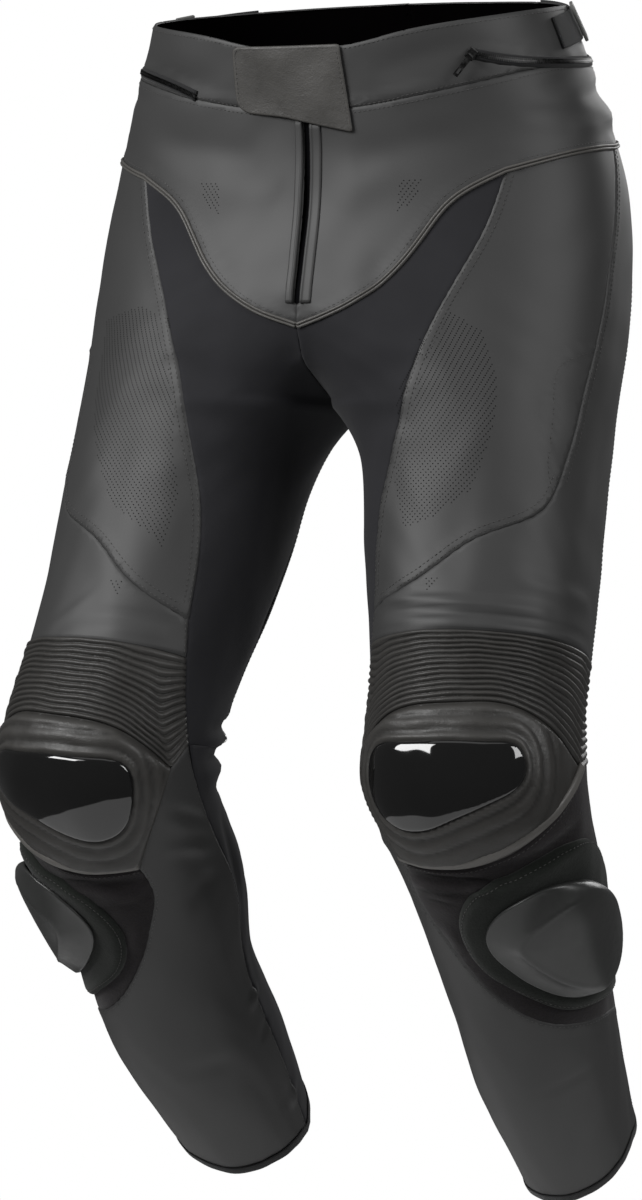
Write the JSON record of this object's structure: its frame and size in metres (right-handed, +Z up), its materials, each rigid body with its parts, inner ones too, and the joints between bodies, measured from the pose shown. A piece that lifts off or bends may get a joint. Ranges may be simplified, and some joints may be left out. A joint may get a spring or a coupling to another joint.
{
  "type": "motorcycle trousers",
  "caption": "Black leather and stretch race trousers in worn shape, with accordion knees, glossy knee shells, knee sliders and a tab closure.",
  "frame": {"origin": "middle of the waist opening, on the middle plane, just above the closure tab's lower edge, where the wearer's waist holds the trousers up", "axes": "+Z up along the wearer, -Y to the wearer's front, +X to the wearer's left"},
  "size_m": [0.508, 0.3819, 0.9767],
  "materials": {
    "leather": "soft black leather, low sheen",
    "stretch_cloth": "matt black woven stretch cloth",
    "hook_and_loop": "matt black brushed loop",
    "gloss_shell": "high gloss black",
    "slider_puck": "satin black moulded plastic",
    "webbing": "matt black woven tape",
    "zip_metal": "blackened metal",
    "loop_plastic": "dark grey plastic"
  },
  "bodies": {
    "trousers": {"back_panel_left": "leather", "back_panel_right": "leather", "calf_left": "stretch_cloth", "calf_right": "stretch_cloth", "closure_tab": "leather", "fly_strip_left": "leather", "fly_strip_right": "leather", "fly_underlap": "webbing", "front_yoke_left": "leather", "front_yoke_right": "leather", "hem_binding_left": "webbing", "hem_binding_right": "webbing", "hip_loop_left": "loop_plastic", "hip_loop_right": "loop_plastic", "hip_strap_left": "webbing", "hip_strap_right": "webbing", "inner_stretch_left": "stretch_cloth", "inner_stretch_right": "stretch_cloth", "knee_cup_left": "leather", "knee_cup_right": "leather", "knee_ribs_left": "leather", "knee_ribs_right": "leather", "knee_shell_left": "gloss_shell", "knee_shell_right": "gloss_shell", "knee_slider_left": "slider_puck", "knee_slider_right": "slider_puck", "shin_left": "leather", "shin_right": "leather", "slider_pad_left": "hook_and_loop", "slider_pad_right": "hook_and_loop", "slider_patch_left": "hook_and_loop", "slider_patch_right": "hook_and_loop", "thigh_front_left": "leather", "thigh_front_right": "leather", "thigh_side_left": "leather", "thigh_side_right": "leather", "waistband_left": "leather", "waistband_right": "leather", "yoke_piping_left": "leather", "yoke_piping_right": "leather", "zip_slider": "zip_metal", "zip_tape": "webbing"},
    "pull": {"zip_pull": "zip_metal"}
  },
  "joints": [
    {"name": "zip_pull_hinge", "type": "hinge", "parent": "trousers", "child": "pull", "pos_m": [0.13187, -0.10093, 0.02224], "axis": [-0.6805, -0.4022, 0.6125], "range_deg": [0, 170]}
  ]
}
